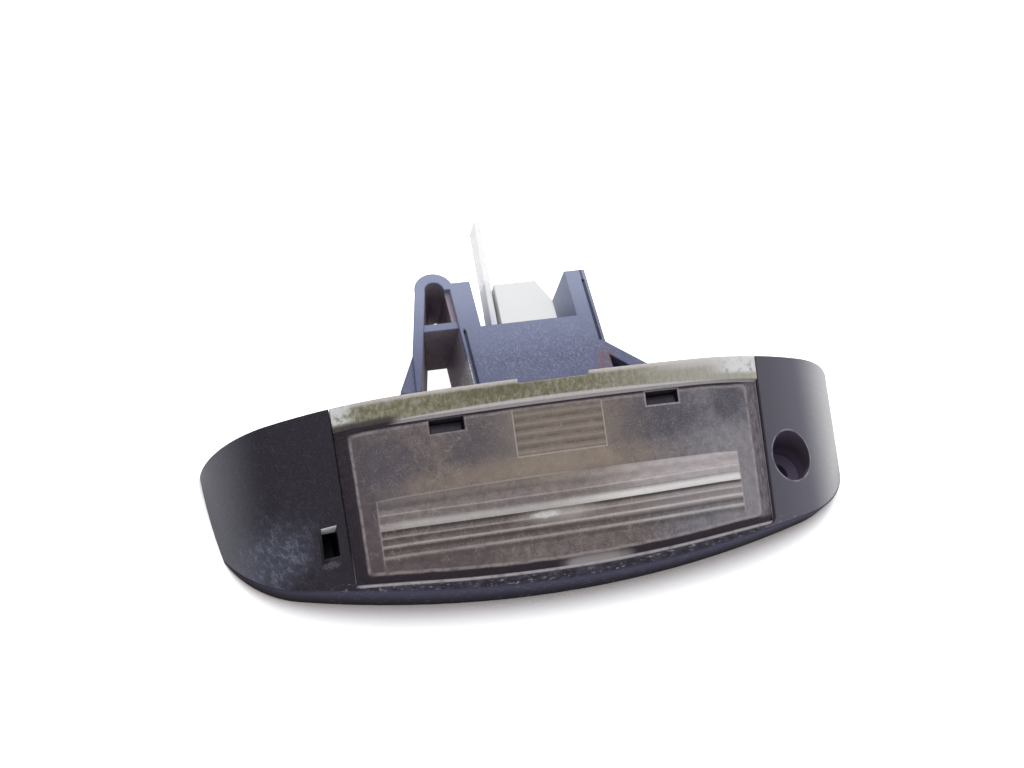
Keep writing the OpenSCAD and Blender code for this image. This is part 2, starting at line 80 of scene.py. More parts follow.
# Dark side of each long rib: low end, high end, strength; and its lit edge: centre, width, strength
RIB_SHADES = ((-24.1, -23.1, 0.8), (-25.5, -24.6, 0.5), (-27.4, -26.3, 0.8), (-29.4, -28.3, 0.5))
RIB_EDGES = ((-20.3, 0.45, 0.45), (-24.35, 0.45, 0.40), (-25.85, 0.60, 0.75), (-27.8, 0.75, 0.55))

# Linear colour of the lit rib, which is paler than tone() goes
RIB_LIGHT = (0.93, 0.89, 0.87, 1.0)

# Colours are written as they look on screen, and lifted to what a matt surface needs to look so
LIFT = 1.4
PALEST = 0.86


def add_camera():
    """Camera fitted to the outline of the lamp in the photo."""
    data = bpy.data.cameras.new("camera")
    data.lens = CAMERA_LENS
    data.sensor_width = 36.0
    data.clip_start = 0.01
    data.clip_end = 10.0
    data.dof.use_dof = False
    camera = bpy.data.objects.new("camera", data)
    turn = Matrix((CAMERA_RIGHT, CAMERA_UP, CAMERA_BACK)).transposed().to_4x4()
    camera.matrix_world = Matrix.Translation(CAMERA_PLACE) @ turn
    bpy.context.collection.objects.link(camera)
    bpy.context.scene.camera = camera


def tone(red, green, blue):
    """Linear colour of an 8-bit screen colour, lifted, and no paler than white plastic."""
    def linear(value):
        v = value / 255.0
        return v / 12.92 if v <= 0.04045 else ((v + 0.055) / 1.055) ** 2.4
    return tuple(min(LIFT * linear(value), PALEST) for value in (red, green, blue)) + (1.0,)


class Shader:
    """Node tree of one material, with short helpers that return output sockets."""

    def __init__(self, name):
        self.material = bpy.data.materials.new(name)
        self.material.use_nodes = True
        self.tree = self.material.node_tree
        self.tree.nodes.clear()
        coords = self.node("ShaderNodeTexCoord")
        scaled = self.node("ShaderNodeVectorMath", operation="SCALE")
        self.feed(scaled.inputs[0], coords.outputs["Object"])
        self.feed(scaled.inputs["Scale"], 1000.0)
        self.place = scaled.outputs[0]
        split = self.node("ShaderNodeSeparateXYZ")
        self.feed(split.inputs[0], self.place)
        self.x, self.y, self.z = split.outputs

    def node(self, kind, **settings):
        made = self.tree.nodes.new(kind)
        for key, value in settings.items():
            setattr(made, key, value)
        return made

    def feed(self, socket, value):
        if isinstance(value, bpy.types.NodeSocket):
            self.tree.links.new(value, socket)
        else:
            socket.default_value = value

    def math(self, operation, *values):
        made = self.node("ShaderNodeMath", operation=operation)
        for socket, value in zip(made.inputs, values):
            self.feed(socket, value)
        return made.outputs[0]

    def add(self, a, b):
        return self.math("ADD", a, b)

    def sub(self, a, b):
        return self.math("SUBTRACT", a, b)

    def mul(self, *values):
        result = values[0]
        for value in values[1:]:
            result = self.math("MULTIPLY", result, value)
        return result

    def ramp(self, value, low, high, to_low=0.0, to_high=1.0):
        """Smooth step of value from to_low at low to to_high at high."""
        made = self.node("ShaderNodeMapRange", interpolation_type="SMOOTHSTEP")
        if low > high:
            low, high, to_low, to_high = high, low, to_high, to_low
        for key, number in (("From Min", low), ("From Max", high), ("To Min", to_low), ("To Max", to_high)):
            made.inputs[key].default_value = number
        self.feed(made.inputs["Value"], value)
        return made.outputs["Result"]

    def within(self, value, low, high, soft):
        """One between low and high, falling to nothing over soft on each side."""
        rise = self.ramp(value, low - soft, low + soft)
        fall = self.ramp(value, high + soft, high - soft)
        return self.mul(rise, fall)

    def far(self, dx, dy):
        """Distance in plan from the offsets dx and dy."""
        return self.math("SQRT", self.add(self.mul(dx, dx), self.mul(dy, dy)))

    def line(self, value, centre, width):
        """Thin line at centre, width wide from edge to edge."""
        return self.ramp(self.math("ABSOLUTE", self.sub(value, centre)), width / 2, width / 8)

    def stretched(self, sx, sy, sz, turn=0.0):
        """Coordinates turned in plan first, then scaled along the turned axes."""
        made = self.node("ShaderNodeMapping", vector_type="TEXTURE")
        self.feed(made.inputs["Vector"], self.place)
        made.inputs["Rotation"].default_value = (0.0, 0.0, turn)
        made.inputs["Scale"].default_value = (1.0 / sx, 1.0 / sy, 1.0 / sz)
        return made.outputs[0]

    def hairlines(self, turns, across, along, limit):
        """Thin straight scratches in a few directions."""
        result = 0.0
        for index, turn in enumerate(turns):
            vector = self.stretched(along, across, 1.0, turn)
            shifted = self.node("ShaderNodeVectorMath", operation="ADD")
            self.feed(shifted.inputs[0], vector)
            shifted.inputs[1].default_value = (17.0 * index, 5.0 * index, 0.0)
            thread = self.ramp(self.noise(1.0, 1.0, 0.4, shifted.outputs[0]), limit, limit + 0.05)
            result = self.math("MAXIMUM", thread, result)
        return result

    def noise(self, scale, detail=3.0, rough=0.5, vector=None, distortion=0.0):
        made = self.node("ShaderNodeTexNoise")
        self.feed(made.inputs["Vector"], vector or self.place)
        made.inputs["Scale"].default_value = scale
        made.inputs["Detail"].default_value = detail
        made.inputs["Roughness"].default_value = rough
        made.inputs["Distortion"].default_value = distortion
        return made.outputs["Fac"]

    def cells(self, scale, feature="F1", vector=None):
        made = self.node("ShaderNodeTexVoronoi", feature=feature)
        self.feed(made.inputs["Vector"], vector or self.place)
        made.inputs["Scale"].default_value = scale
        return made.outputs["Distance"]

    def mix(self, factor, a, b):
        made = self.node("ShaderNodeMix", data_type="RGBA")
        self.feed(made.inputs[0], factor)
        self.feed(made.inputs[6], a)
        self.feed(made.inputs[7], b)
        return made.outputs[2]

    def blob(self, cx, cy, rx, ry, soft=0.5, wobble=0.35, scale=0.25):
        """Soft-edged ellipse in plan with an uneven outline."""
        dx = self.math("DIVIDE", self.sub(self.x, cx), rx)
        dy = self.math("DIVIDE", self.sub(self.y, cy), ry)
        far = self.add(self.far(dx, dy), self.mul(self.sub(self.noise(scale), 0.5), 2 * wobble))
        return self.ramp(far, 1.0 + soft / 2, 1.0 - soft / 2)

    def bump(self, height, strength, distance, normal=None):
        made = self.node("ShaderNodeBump")
        self.feed(made.inputs["Height"], height)
        made.inputs["Strength"].default_value = strength
        made.inputs["Distance"].default_value = distance
        if normal:
            self.feed(made.inputs["Normal"], normal)
        return made.outputs[0]

    def rounded(self, radius):
        """Normal that rounds the sharp edges, radius in metres."""
        made = self.node("ShaderNodeBevel", samples=6)
        made.inputs["Radius"].default_value = radius
        return made.outputs[0]

    def principled(self, **inputs):
        made = self.node("ShaderNodeBsdfPrincipled")
        for key, value in inputs.items():
            self.feed(made.inputs[key.replace("_", " ")], value)
        return made.outputs[0]

    def surface(self, shader):
        out = self.node("ShaderNodeOutputMaterial")
        self.feed(out.inputs["Surface"], shader)


def housing_material():
    """Satin black shell with scuffs and dust, painted light on its ends, painted shade on its nose wall and
    in its slot, and the bare bluish grey of the tower.
    """
    s = Shader("black_plastic")
    side = s.math("ABSOLUTE", s.x)
    dust = s.noise(1.6, 5, 0.7)
    grain = s.noise(5.5, 3, 0.7)
    shell = s.mix(s.noise(0.35, 4, 0.6), tone(26, 20, 31), tone(34, 27, 39))
    # Painted light: the right end lighter than the left one, where more light falls on it
    right = s.mul(s.ramp(s.x, 43.0, 60.0, 0.55, 1.0), s.ramp(s.x, 40.0, 44.0))
    shell = s.mix(s.mul(right, 0.8), shell, tone(108, 106, 117))
    # Dust and a painted sheen of grazing reflection on both rolled-off ends
    dust_and_sheen = s.mul(s.ramp(side, 58.0, 69.0), s.ramp(dust, 0.3, 0.7, 0.75, 1.0))
    shell = s.mix(s.mul(dust_and_sheen, 0.40), shell, tone(140, 142, 150))
    # Painted highlight: the right end washed out as in the overexposed photo, less so near its foot
    painted_glare = s.mul(s.ramp(s.x, 54.0, 66.0), s.ramp(dust, 0.3, 0.7, 0.85, 1.0))
    painted_glare = s.mul(painted_glare, s.ramp(s.z, 0.0, 6.0, 0.4, 1.0))
    shell = s.mix(s.mul(painted_glare, 0.85), shell, tone(226, 228, 232))
    grey_grain = s.mul(s.ramp(grain, 0.35, 0.75), s.ramp(right, 0.0, 1.0, 0.22, 0.38))
    shell = s.mix(grey_grain, shell, tone(96, 94, 104))
    # Rubbed patches near the lower left corner
    cloud = s.ramp(s.noise(0.8, 6, 0.75, s.stretched(1.0, 0.6, 1.0, 0.5)), 0.42, 0.66)
    mesh = s.ramp(s.noise(3.0, 4, 0.8), 0.40, 0.66)
    patch = s.mul(s.blob(-59.0, -23.2, 6.6, 5.0, 1.3, 0.5, 0.3), s.ramp(cloud, 0.0, 1.0, 0.35, 1.0),
                  s.ramp(mesh, 0.0, 1.0, 0.5, 1.0))
    shell = s.mix(s.mul(patch, 0.85), shell, tone(112, 118, 136))
    wide = s.mul(s.blob(-58.0, -22.0, 9.0, 9.0, 1.4), cloud, mesh, 0.22)
    shell = s.mix(wide, shell, tone(120, 124, 140))
    near_slot = s.blob(-48.5, -27.0, 1.5, 0.6, 0.9, 0.5, 0.6)
    shell = s.mix(s.mul(near_slot, mesh, 0.35), shell, tone(150, 148, 160))
    threads = s.mul(s.hairlines((0.9, -0.5, 1.9), 4.5, 0.4, 0.70), s.ramp(s.x, -44.0, -48.0), 0.10)
    shell = s.mix(threads, shell, tone(120, 122, 136))
    specks = s.mul(s.ramp(s.cells(0.9), 0.10, 0.04), s.ramp(s.noise(0.3), 0.5, 0.62), 0.4)
    shell = s.mix(specks, shell, tone(150, 150, 158))
    # Grime along the nose
    nose = s.mul(s.ramp(s.y, -31.0, -34.0), s.ramp(s.noise(0.6, 4), 0.35, 0.7), 0.35)
    shell = s.mix(nose, shell, tone(84, 82, 92))
    # Nose wall and its corners: painted shade, darker than the shell and darkest low down by the table
    lean = s.mul(s.z, NOSE_DRAFT)
    past = s.sub(s.far(s.x, s.sub(s.y, NOSE_CENTRE)), s.add(NOSE_RADIUS, lean))
    round_past = s.sub(s.far(s.sub(side, CORNER_X), s.sub(s.y, CORNER_Y)), s.add(CORNER_RADIUS, lean))
    at_corner = s.ramp(side, CORNER_START - 0.1, CORNER_START)
    shaded_wall = s.mul(s.ramp(past, -0.30, -0.12), s.sub(1.0, at_corner))
    corner = s.mul(s.ramp(round_past, -0.30, -0.12), at_corner)
    corner = s.mul(corner, s.ramp(s.y, CORNER_Y, -24.0))
    shaded_wall = s.math("MAXIMUM", shaded_wall, corner)
    shell = s.mix(shaded_wall, shell, s.mix(s.ramp(s.z, 1.0, 9.0), tone(28, 23, 33), tone(64, 63, 84)))
    # Rub marks along the ridge above the wall
    rubs = s.ramp(s.noise(0.9, 5, 0.8, s.stretched(0.7, 2.5, 1.0)), 0.56, 0.64)
    marks = s.mul(s.within(past, -1.6, -0.1, 0.3), rubs, s.ramp(s.y, -30.0, -32.0), 0.7)
    shell = s.mix(marks, shell, tone(150, 152, 164))
    # Bore of the screw: painted highlight along its rim, a painted lit patch low on its right, and its
    # floor painted lighter against the shade that falls in it
    bore = s.far(s.sub(s.x, SCREW_X), s.sub(s.y, SCREW_Y))
    rim_highlight = s.ramp(s.noise(0.5, 3), 0.40, 0.60, 0.10, 0.6)
    shell = s.mix(s.mul(s.line(bore, SCREW_BORE + 0.1, 0.4), rim_highlight), shell, tone(150, 148, 158))
    depth = s.mix(s.ramp(s.x, SCREW_X - 2.0, SCREW_X + 4.0), tone(72, 64, 84), tone(84, 74, 86))
    lit_crescent = s.blob(SCREW_X + 3.2, SCREW_Y - 3.8, 2.4, 2.0, 0.9)
    lit_crescent = s.mul(lit_crescent, s.ramp(s.noise(1.8, 4), 0.38, 0.60), 0.8)
    depth = s.mix(lit_crescent, depth, tone(160, 150, 158))
    # Painted light on the floor of the bore, against the shade in it
    depth = s.mix(s.ramp(s.z, 7.5, 5.0), depth, tone(112, 102, 124))
    shell = s.mix(s.ramp(bore, SCREW_BORE - 0.02, SCREW_BORE - 0.08), shell, depth)

    # Tower and clip: bare grey, finely scratched
    tower = s.mix(s.noise(0.5, 4, 0.6), tone(72, 76, 104), tone(90, 95, 124))
    tower = s.mix(s.mul(s.ramp(grain, 0.40, 0.72), 0.45), tower, tone(58, 60, 82))
    upper = s.mul(s.ramp(s.y, 6.0, 15.0), 0.45)
    tower = s.mix(upper, tower, tone(120, 126, 154))
    bare = s.mul(s.ramp(s.y, 12.0, 26.0), 0.35)
    tower = s.mix(bare, tower, tone(160, 168, 192))
    scratches = s.hairlines((0.55, -0.75, 1.35, 2.5), 12.0, 0.9, 0.66)
    rubbed = s.blob(1.0, 9.0, 15.0, 6.5, 1.0, 0.4)
    tower = s.mix(s.mul(scratches, s.ramp(rubbed, 0.0, 1.0, 0.10, 0.45)), tower, tone(158, 164, 192))
    wisps = s.mul(s.ramp(s.noise(1.6, 6, 0.85), 0.54, 0.68), rubbed, 0.35)
    tower = s.mix(wisps, tower, tone(170, 172, 190))
    # Painted shade in the grooves beside the edges
    groove_shade = s.mul(s.line(s.x, TOWER_LEFT + 0.9, 0.7), s.ramp(s.y, 15.8, 15.4))
    groove_shade = s.math("MAXIMUM", groove_shade, s.mul(s.line(s.x, -TOWER_LEFT - 0.9, 0.7), s.ramp(s.y, 8.8, 9.6)))
    tower = s.mix(s.mul(groove_shade, 0.8), tower, tone(34, 30, 38))
    # Dirt on the outer side of the tower, beside the clip, with painted light from the table on its lower
    # part
    low = s.mul(s.ramp(s.z, TOWER_FRONT - 0.5, TOWER_FRONT - 0.9), s.ramp(s.y, 30.0, 29.0))
    outside = s.ramp(s.x, TOWER_LEFT + 0.3, TOWER_LEFT + 0.1)
    inner = s.mul(low, outside, s.ramp(s.y, 0.2, 0.6))
    side_dirt_and_light = s.mix(s.noise(0.9, 4), tone(116, 104, 116), tone(156, 144, 152))
    # Painted bounce light from the table, lighter low down
    side_dirt_and_light = s.mix(s.mul(s.ramp(s.y, 13.0, 5.0), 0.7), side_dirt_and_light, tone(170, 164, 172))
    tower = s.mix(s.mul(inner, 0.9), tower, side_dirt_and_light)
    beside = s.mul(outside, s.ramp(s.x, -17.0, -15.6), s.ramp(s.y, 9.5, 6.5))
    crust = s.ramp(s.noise(2.2, 5, 0.75), 0.38, 0.54)
    tower = s.mix(s.mul(beside, 0.85), tower, s.mix(crust, tone(96, 88, 88), tone(214, 210, 208)))
    rust = s.mul(s.blob(14.0, 4.0, 2.0, 3.2, 0.9), s.ramp(s.noise(1.6, 4), 0.40, 0.60))
    tower = s.mix(s.mul(rust, 0.75), tower, tone(112, 70, 60))
    colour = s.mix(s.ramp(s.y, 0.15, 0.35), shell, tower)
    # Painted shade inside the release slot, black below its mouth
    mouth = s.add(s.mul(s.sub(s.y, SLOT_TOP), SLOT_SLOPE), SLOT_TOP_Z)
    sunk = s.sub(mouth, s.z)
    shaded_slot = s.within(s.x, SLOT_X - 2.0, SLOT_X + 2.0, 0.05)
    shaded_slot = s.mul(shaded_slot, s.within(s.y, SLOT_TOP - 6.0, SLOT_TOP + 0.3, 0.05))
    colour = s.mix(s.mul(shaded_slot, s.ramp(sunk, 0.15, 0.45)), colour, tone(20, 17, 20))
    # Painted light on the end wall of the release slot, where light comes through it
    end_wall = s.within(s.x, SLOT_X - 1.45, SLOT_X + 1.45, 0.1)
    lit_end_wall = s.mul(s.line(s.y, SLOT_TOP, 0.5), end_wall, s.ramp(sunk, 2.6, 1.9))
    colour = s.mix(lit_end_wall, colour, tone(208, 210, 220))
    rough = s.math("MAXIMUM", s.ramp(dust, 0.3, 0.7, 0.36, 0.50), s.mul(shaded_wall, 0.75))
    normal = s.bump(grain, 0.25, 0.00008, s.rounded(0.0004))
    normal = s.bump(s.noise(0.9, 4, 0.6), 0.15, 0.00025, normal)
    s.surface(s.principled(Base_Color=colour, Roughness=rough, Normal=normal, IOR=1.46,
                           Specular_IOR_Level=0.35))
    return s.material


def lens_material():
    """Grimy clear moulding: dark flanges, brown-grey pane, lit ribs and an olive band along the top, with
    much of its light and shade painted in.
    """
    s = Shader("clear_plastic")
    top = s.mul(s.y, -1.0)
    side = s.sub(s.add(LENS_HALF, s.mul(s.y, LENS_TAPER)), s.math("ABSOLUTE", s.x))
    nose = s.sub(LENS_EDGE_RADIUS, s.far(s.x, s.sub(s.y, LENS_EDGE_CENTRE)))
    sway = s.mul(s.sub(s.noise(0.25, 2), 0.5), 0.35)
    across = s.math("DIVIDE", s.x, 37.0)
    bow = s.sub(1.0, s.mul(across, across))
    to_right = s.ramp(s.x, -4.0, 26.0)
    fine = s.noise(3.2, 5, 0.75)

    # Pane: brown grey and mottled, cooler on the right, with painted shadow lobes
    mottle = s.noise(0.55, 6, 0.7, None, 0.6)
    pane = s.mix(s.ramp(mottle, 0.3, 0.7), tone(86, 76, 78), tone(120, 109, 105))
    cool = s.mix(s.ramp(mottle, 0.3, 0.7), tone(94, 91, 100), tone(126, 122, 128))
    pane = s.mix(s.ramp(s.x, 12.0, 26.0), pane, cool)
    pane = s.mix(s.mul(s.ramp(fine, 0.46, 0.66), 0.45), pane, tone(66, 60, 62))
    pane = s.mix(s.mul(s.ramp(fine, 0.46, 0.32), 0.30), pane, tone(154, 144, 138))
    shadow_lobes = s.blob(-37.0, -12.0, 7.5, 6.0, 1.2, 0.5)
    shadow_lobes = s.math("MAXIMUM", shadow_lobes, s.blob(-15.5, -10.5, 6.5, 5.0, 1.0, 0.5))
    shadow_lobes = s.math("MAXIMUM", shadow_lobes, s.blob(21.0, -10.0, 9.5, 4.0, 1.0, 0.45))
    shadow_lobes = s.math("MAXIMUM", shadow_lobes, s.blob(37.5, -8.5, 4.5, 3.5, 0.9, 0.45))
    pane = s.mix(s.mul(shadow_lobes, s.ramp(fine, 0.30, 0.62, 0.35, 0.90)), pane, tone(70, 65, 76))
    pane = s.mix(s.mul(s.blob(0.0, -10.0, 14.0, 8.0, 1.4, 0.4), 0.35), pane, tone(152, 140, 126))
    warm = s.mul(s.blob(-6.0, -16.2, 26.0, 2.4, 1.2, 0.5), 0.40)
    pane = s.mix(warm, pane, tone(150, 134, 116))
    # Painted light on the right of the pane
    right_light = s.mul(s.ramp(s.x, 24.0, 38.0), s.ramp(s.y, -11.0, -15.0), 0.25)
    pane = s.mix(right_light, pane, tone(158, 152, 156))

    # Long ribs, bowed a little towards the nose, with painted light and shade on their sides and a painted
    # glow, halo and glint, brighter on the right where more light falls
    bent = s.add(s.y, s.mul(bow, 0.7))
    ribs = s.within(s.x, RIBS_LEFT, RIBS_RIGHT, 0.12)
    ribs = s.mul(ribs, s.within(s.y, RIBS_BOTTOM, RIBS_TOP, 0.12))
    patchy_rib_light = s.ramp(s.noise(0.35, 4, 0.6, s.stretched(1.0, 3.0, 1.0)), 0.35, 0.65, 0.70, 1.0)
    upper = s.mul(s.ramp(s.y, RIBS_TOP + 0.05, RIBS_TOP - 0.15), s.ramp(bent, -21.5, -21.3))
    upper = s.mul(ribs, upper, s.ramp(to_right, 0.0, 1.0, 0.13, 0.75), patchy_rib_light)
    pane = s.mix(upper, pane, tone(186, 176, 176))
    shade = s.mul(ribs, s.within(s.y, -19.4, RIBS_TOP - 0.15, 0.15), s.ramp(s.x, 4.0, -10.0), 0.35)
    pane = s.mix(shade, pane, tone(72, 64, 62))
    lit = s.mul(s.ramp(bent, -21.1, -22.5), s.ramp(bent, -23.15, -23.0))
    gain = s.ramp(s.x, -6.0, 16.0, 0.48, 1.0)
    gain = s.mul(gain, s.ramp(s.x, -40.0, -30.0, 0.5, 1.0))
    pane = s.mix(s.mul(ribs, lit, gain, s.ramp(patchy_rib_light, 0.7, 1.0, 0.94, 1.0)), pane, RIB_LIGHT)
    for low, high, depth in RIB_SHADES:
        dark = s.mul(s.ramp(bent, low, low + 0.8 * (high - low)), s.ramp(bent, high + 0.06, high - 0.04))
        pane = s.mix(s.mul(ribs, dark, depth), pane, tone(50, 43, 38))
    for centre, width, most in RIB_EDGES:
        edge = s.mul(s.line(bent, centre, width), patchy_rib_light, s.ramp(to_right, 0.0, 1.0, 0.6 * most, most))
        pane = s.mix(s.mul(ribs, edge), pane, tone(208, 198, 194))
    glow = s.mul(ribs, s.within(bent, -26.6, -23.6, 0.3), s.ramp(s.x, -14.0, 28.0), 0.30)
    pane = s.mix(glow, pane, tone(184, 172, 168))
    halo = s.mul(s.blob(-2.0, -24.9, 7.0, 1.3, 1.4, 0.4), 0.40)
    pane = s.mix(s.mul(ribs, halo), pane, tone(196, 188, 184))
    glint = s.mul(s.blob(-5.2, -24.7, 2.8, 0.6, 0.8, 0.6, 0.7), s.ramp(fine, 0.30, 0.62, 0.3, 1.0), 0.75)
    pane = s.mix(s.mul(ribs, glint), pane, tone(236, 230, 222))
    # Lit frame of the rib field, and the darker margin to its left
    ends = s.math("MAXIMUM", s.line(s.x, RIBS_LEFT, 0.4), s.line(s.x, RIBS_RIGHT, 0.5))
    ends = s.mul(ends, s.within(s.y, RIBS_BOTTOM + 0.2, RIBS_TOP, 0.2), 0.30)
    start = s.mul(s.line(s.y, RIBS_TOP, 0.4), s.within(s.x, RIBS_LEFT, 0.0, 6.0), 0.35)
    pane = s.mix(s.math("MAXIMUM", ends, start), pane, tone(176, 166, 168))
    margin = s.ramp(s.x, RIBS_LEFT + 0.1, RIBS_LEFT - 0.6)
    margin = s.mul(margin, s.ramp(s.y, -14.0, -20.0, 0.25, 0.6))
    pane = s.mix(margin, pane, tone(64, 53, 60))
    # Murk in the lower left corner
    murk = s.mul(s.blob(-30.0, -31.0, 14.0, 2.6, 1.0, 0.4), 0.5)
    pane = s.mix(murk, pane, tone(60, 50, 54))

    # Short ribs in front of the bulb, with painted light and shade across them and a pale frame
    field = s.within(s.x, SHORT_LEFT + 0.1, SHORT_RIGHT - 0.1, 0.1)
    field = s.mul(field, s.within(s.y, SHORT_BOTTOM - 0.1, SHORT_TOP - 0.1, 0.1))
    wave = s.math("SINE", s.mul(s.y, 2 * math.pi / SHORT_PITCH))
    uneven = s.ramp(s.noise(0.3, 3, 0.5, s.stretched(1.0, 2.5, 1.0)), 0.35, 0.65, 0.2, 1.0)
    pane = s.mix(s.mul(field, 0.30), pane, tone(96, 84, 72))
    pane = s.mix(s.mul(field, s.ramp(wave, 0.2, 0.95), 0.30), pane, tone(156, 144, 134))
    pane = s.mix(s.mul(field, s.ramp(wave, -0.5, -0.95), uneven, 0.45), pane, tone(70, 60, 52))
    frame_x = s.math("MAXIMUM", s.line(s.x, SHORT_LEFT, 0.4), s.line(s.x, SHORT_RIGHT, 0.4))
    frame_x = s.mul(frame_x, s.within(s.y, SHORT_BOTTOM - 0.2, SHORT_TOP + 0.1, 0.1))
    frame_y = s.line(s.y, SHORT_BOTTOM, 0.4)
    frame_y = s.mul(frame_y, s.within(s.x, SHORT_LEFT - 0.1, SHORT_RIGHT + 0.1, 0.1))
    pane = s.mix(s.mul(s.math("MAXIMUM", frame_x, frame_y), 0.50), pane, tone(182, 172, 164))

    # Specks and curls of dried dirt
    specks = s.mul(s.ramp(s.cells(1.3), 0.16, 0.06), s.ramp(s.noise(0.5), 0.48, 0.62))
    pane = s.mix(s.mul(specks, 0.5), pane, tone(190, 184, 178))
    curls = s.ramp(s.cells(0.7, "DISTANCE_TO_EDGE", s.stretched(1.0, 1.0, 1.0, 0.4)), 0.05, 0.0)
    curls = s.mul(curls, s.ramp(s.noise(0.4, 3), 0.56, 0.66))
    pane = s.mix(s.mul(curls, 0.35), pane, tone(168, 160, 150))

    # Flanges: the black pocket shows through on the left, streaked grey on the right
    inset = s.math("SMOOTH_MIN", s.sub(side, 2.7), s.sub(nose, 2.0), 1.6)
    inset = s.math("SMOOTH_MIN", inset, s.sub(top, 5.0), 1.6)
    inset = s.add(inset, sway)
    flange = s.ramp(inset, 0.25, -0.25)
    black = s.mix(s.noise(0.7, 4), tone(34, 26, 34), tone(54, 45, 54))
    clear_spot = s.mul(s.blob(4.0, -34.4, 6.5, 2.4, 0.9, 0.3), s.ramp(nose, 3.2, 0.8))
    black = s.mix(s.mul(clear_spot, 0.85), black, tone(168, 160, 160))
    streaks = s.ramp(s.noise(0.8, 5, 0.7, s.stretched(2.2, 0.5, 1.0)), 0.36, 0.62)
    grey = s.mix(streaks, tone(92, 85, 92), tone(128, 120, 126))
    right_side = s.mul(s.ramp(s.x, 40.5, 42.0), s.ramp(nose, 1.4, 2.2), 0.95)
    black = s.mix(right_side, black, grey)
    colour = s.mix(flange, pane, black)
    # Painted highlight along the edge of the pane
    ridge_highlight = s.mul(s.line(inset, 0.35, 0.8), s.ramp(s.noise(0.6), 0.35, 0.6, 0.15, 0.5))
    colour = s.mix(ridge_highlight, colour, tone(160, 148, 150))

    # Raised band along the top: dull olive streaks, painted light towards the right, a painted highlight on
    # the pale upper edge and along the lower edge, painted highlights on both ends, and a painted shadow
    # low on the left
    band = s.ramp(top, BAND_HEIGHT + 0.03, BAND_HEIGHT - 0.01)
    olive = s.ramp(s.noise(1.0, 6, 0.75, s.stretched(1.3, 0.8, 1.0)), 0.35, 0.65)
    band_grime_and_light = s.mix(olive, tone(98, 92, 72), tone(146, 141, 126))
    moss = s.mul(s.ramp(s.noise(1.7, 5, 0.8), 0.48, 0.60), s.within(top, 0.8, 3.4, 0.4))
    band_grime_and_light = s.mix(s.mul(moss, 0.55), band_grime_and_light, tone(94, 98, 48))
    fibres = s.ramp(s.noise(1.0, 3, 0.6, s.stretched(5.0, 0.9, 1.0)), 0.54, 0.64)
    fibres = s.mul(fibres, s.within(top, 2.4, 3.9, 0.4), s.ramp(s.x, -24.0, -16.0), 0.5)
    band_grime_and_light = s.mix(fibres, band_grime_and_light, tone(70, 64, 66))
    # Painted light, paler towards the right
    band_grime_and_light = s.mix(s.mul(s.ramp(s.x, 2.0, 34.0), 0.55), band_grime_and_light, tone(182, 178, 172))
    band_grime_and_light = s.mix(s.mul(s.blob(-12.0, -1.7, 9.0, 0.9, 0.8), 0.5), band_grime_and_light, tone(84, 82, 62))
    # Painted highlight on the upper edge, stronger on the right
    band_grime_and_light = s.mix(s.mul(s.ramp(top, 1.0, 0.3), 0.75), band_grime_and_light, tone(196, 189, 186))
    band_grime_and_light = s.mix(s.mul(s.ramp(top, 2.2, 0.9), s.ramp(s.x, 16.0, 30.0), 0.6), band_grime_and_light, tone(200, 196, 196))
    line_top = s.sub(BAND_HEIGHT, s.mul(bow, 0.75))
    # Painted highlight along the lower edge of the band
    pale = s.mul(s.ramp(s.sub(top, line_top), -0.2, 0.1), s.ramp(s.x, -35.0, -31.0), 0.7)
    band_grime_and_light = s.mix(pale, band_grime_and_light, tone(196, 189, 192))
    # Painted shadow low on the left of the band
    left_shadow = s.mul(s.ramp(top, 3.0, 3.8), s.ramp(s.x, -31.0, -34.5), 0.9)
    band_grime_and_light = s.mix(left_shadow, band_grime_and_light, tone(48, 40, 46))
    # Painted highlights on both ends
    left_end = s.mul(s.ramp(s.x, -39.5, -43.0), s.ramp(top, 3.4, 2.8), 0.85)
    right_end = s.mul(s.ramp(s.x, 32.0, 40.0), s.ramp(top, 3.6, 2.6))
    end_highlights = s.mul(s.math("MAXIMUM", left_end, right_end), s.ramp(s.noise(0.7, 4), 0.30, 0.52))
    band_grime_and_light = s.mix(end_highlights, band_grime_and_light, tone(240, 238, 226))
    colour = s.mix(band, colour, band_grime_and_light)
    # Painted highlight on the step below the band
    step = s.within(top, BAND_HEIGHT - 0.03, BAND_HEIGHT + 0.17, 0.04)
    step = s.mul(step, s.ramp(s.x, -35.0, -31.0), 0.8)
    colour = s.mix(step, colour, tone(204, 196, 200))

    # Painted highlight on the rims of the catch windows, stronger on the right one, and painted shade
    # inside them
    beside_window = s.math("ABSOLUTE", s.sub(s.math("ABSOLUTE", s.x), WINDOW_X))
    window_rim_highlight = s.ramp(beside_window, WINDOW_HALF + 0.4, WINDOW_HALF + 0.2)
    window_rim_highlight = s.mul(window_rim_highlight, s.within(s.y, WINDOW_BOTTOM - 0.32, WINDOW_TOP + 0.27, 0.08))
    window_rim_highlight = s.mul(window_rim_highlight, s.ramp(s.x, 0.0, 1.0, 0.12, 0.45))
    colour = s.mix(window_rim_highlight, colour, tone(176, 168, 170))
    window = s.ramp(beside_window, WINDOW_HALF, WINDOW_HALF - 0.06)
    window = s.mul(window, s.within(s.y, WINDOW_BOTTOM, WINDOW_TOP, 0.02))
    colour = s.mix(window, colour, tone(40, 35, 42))

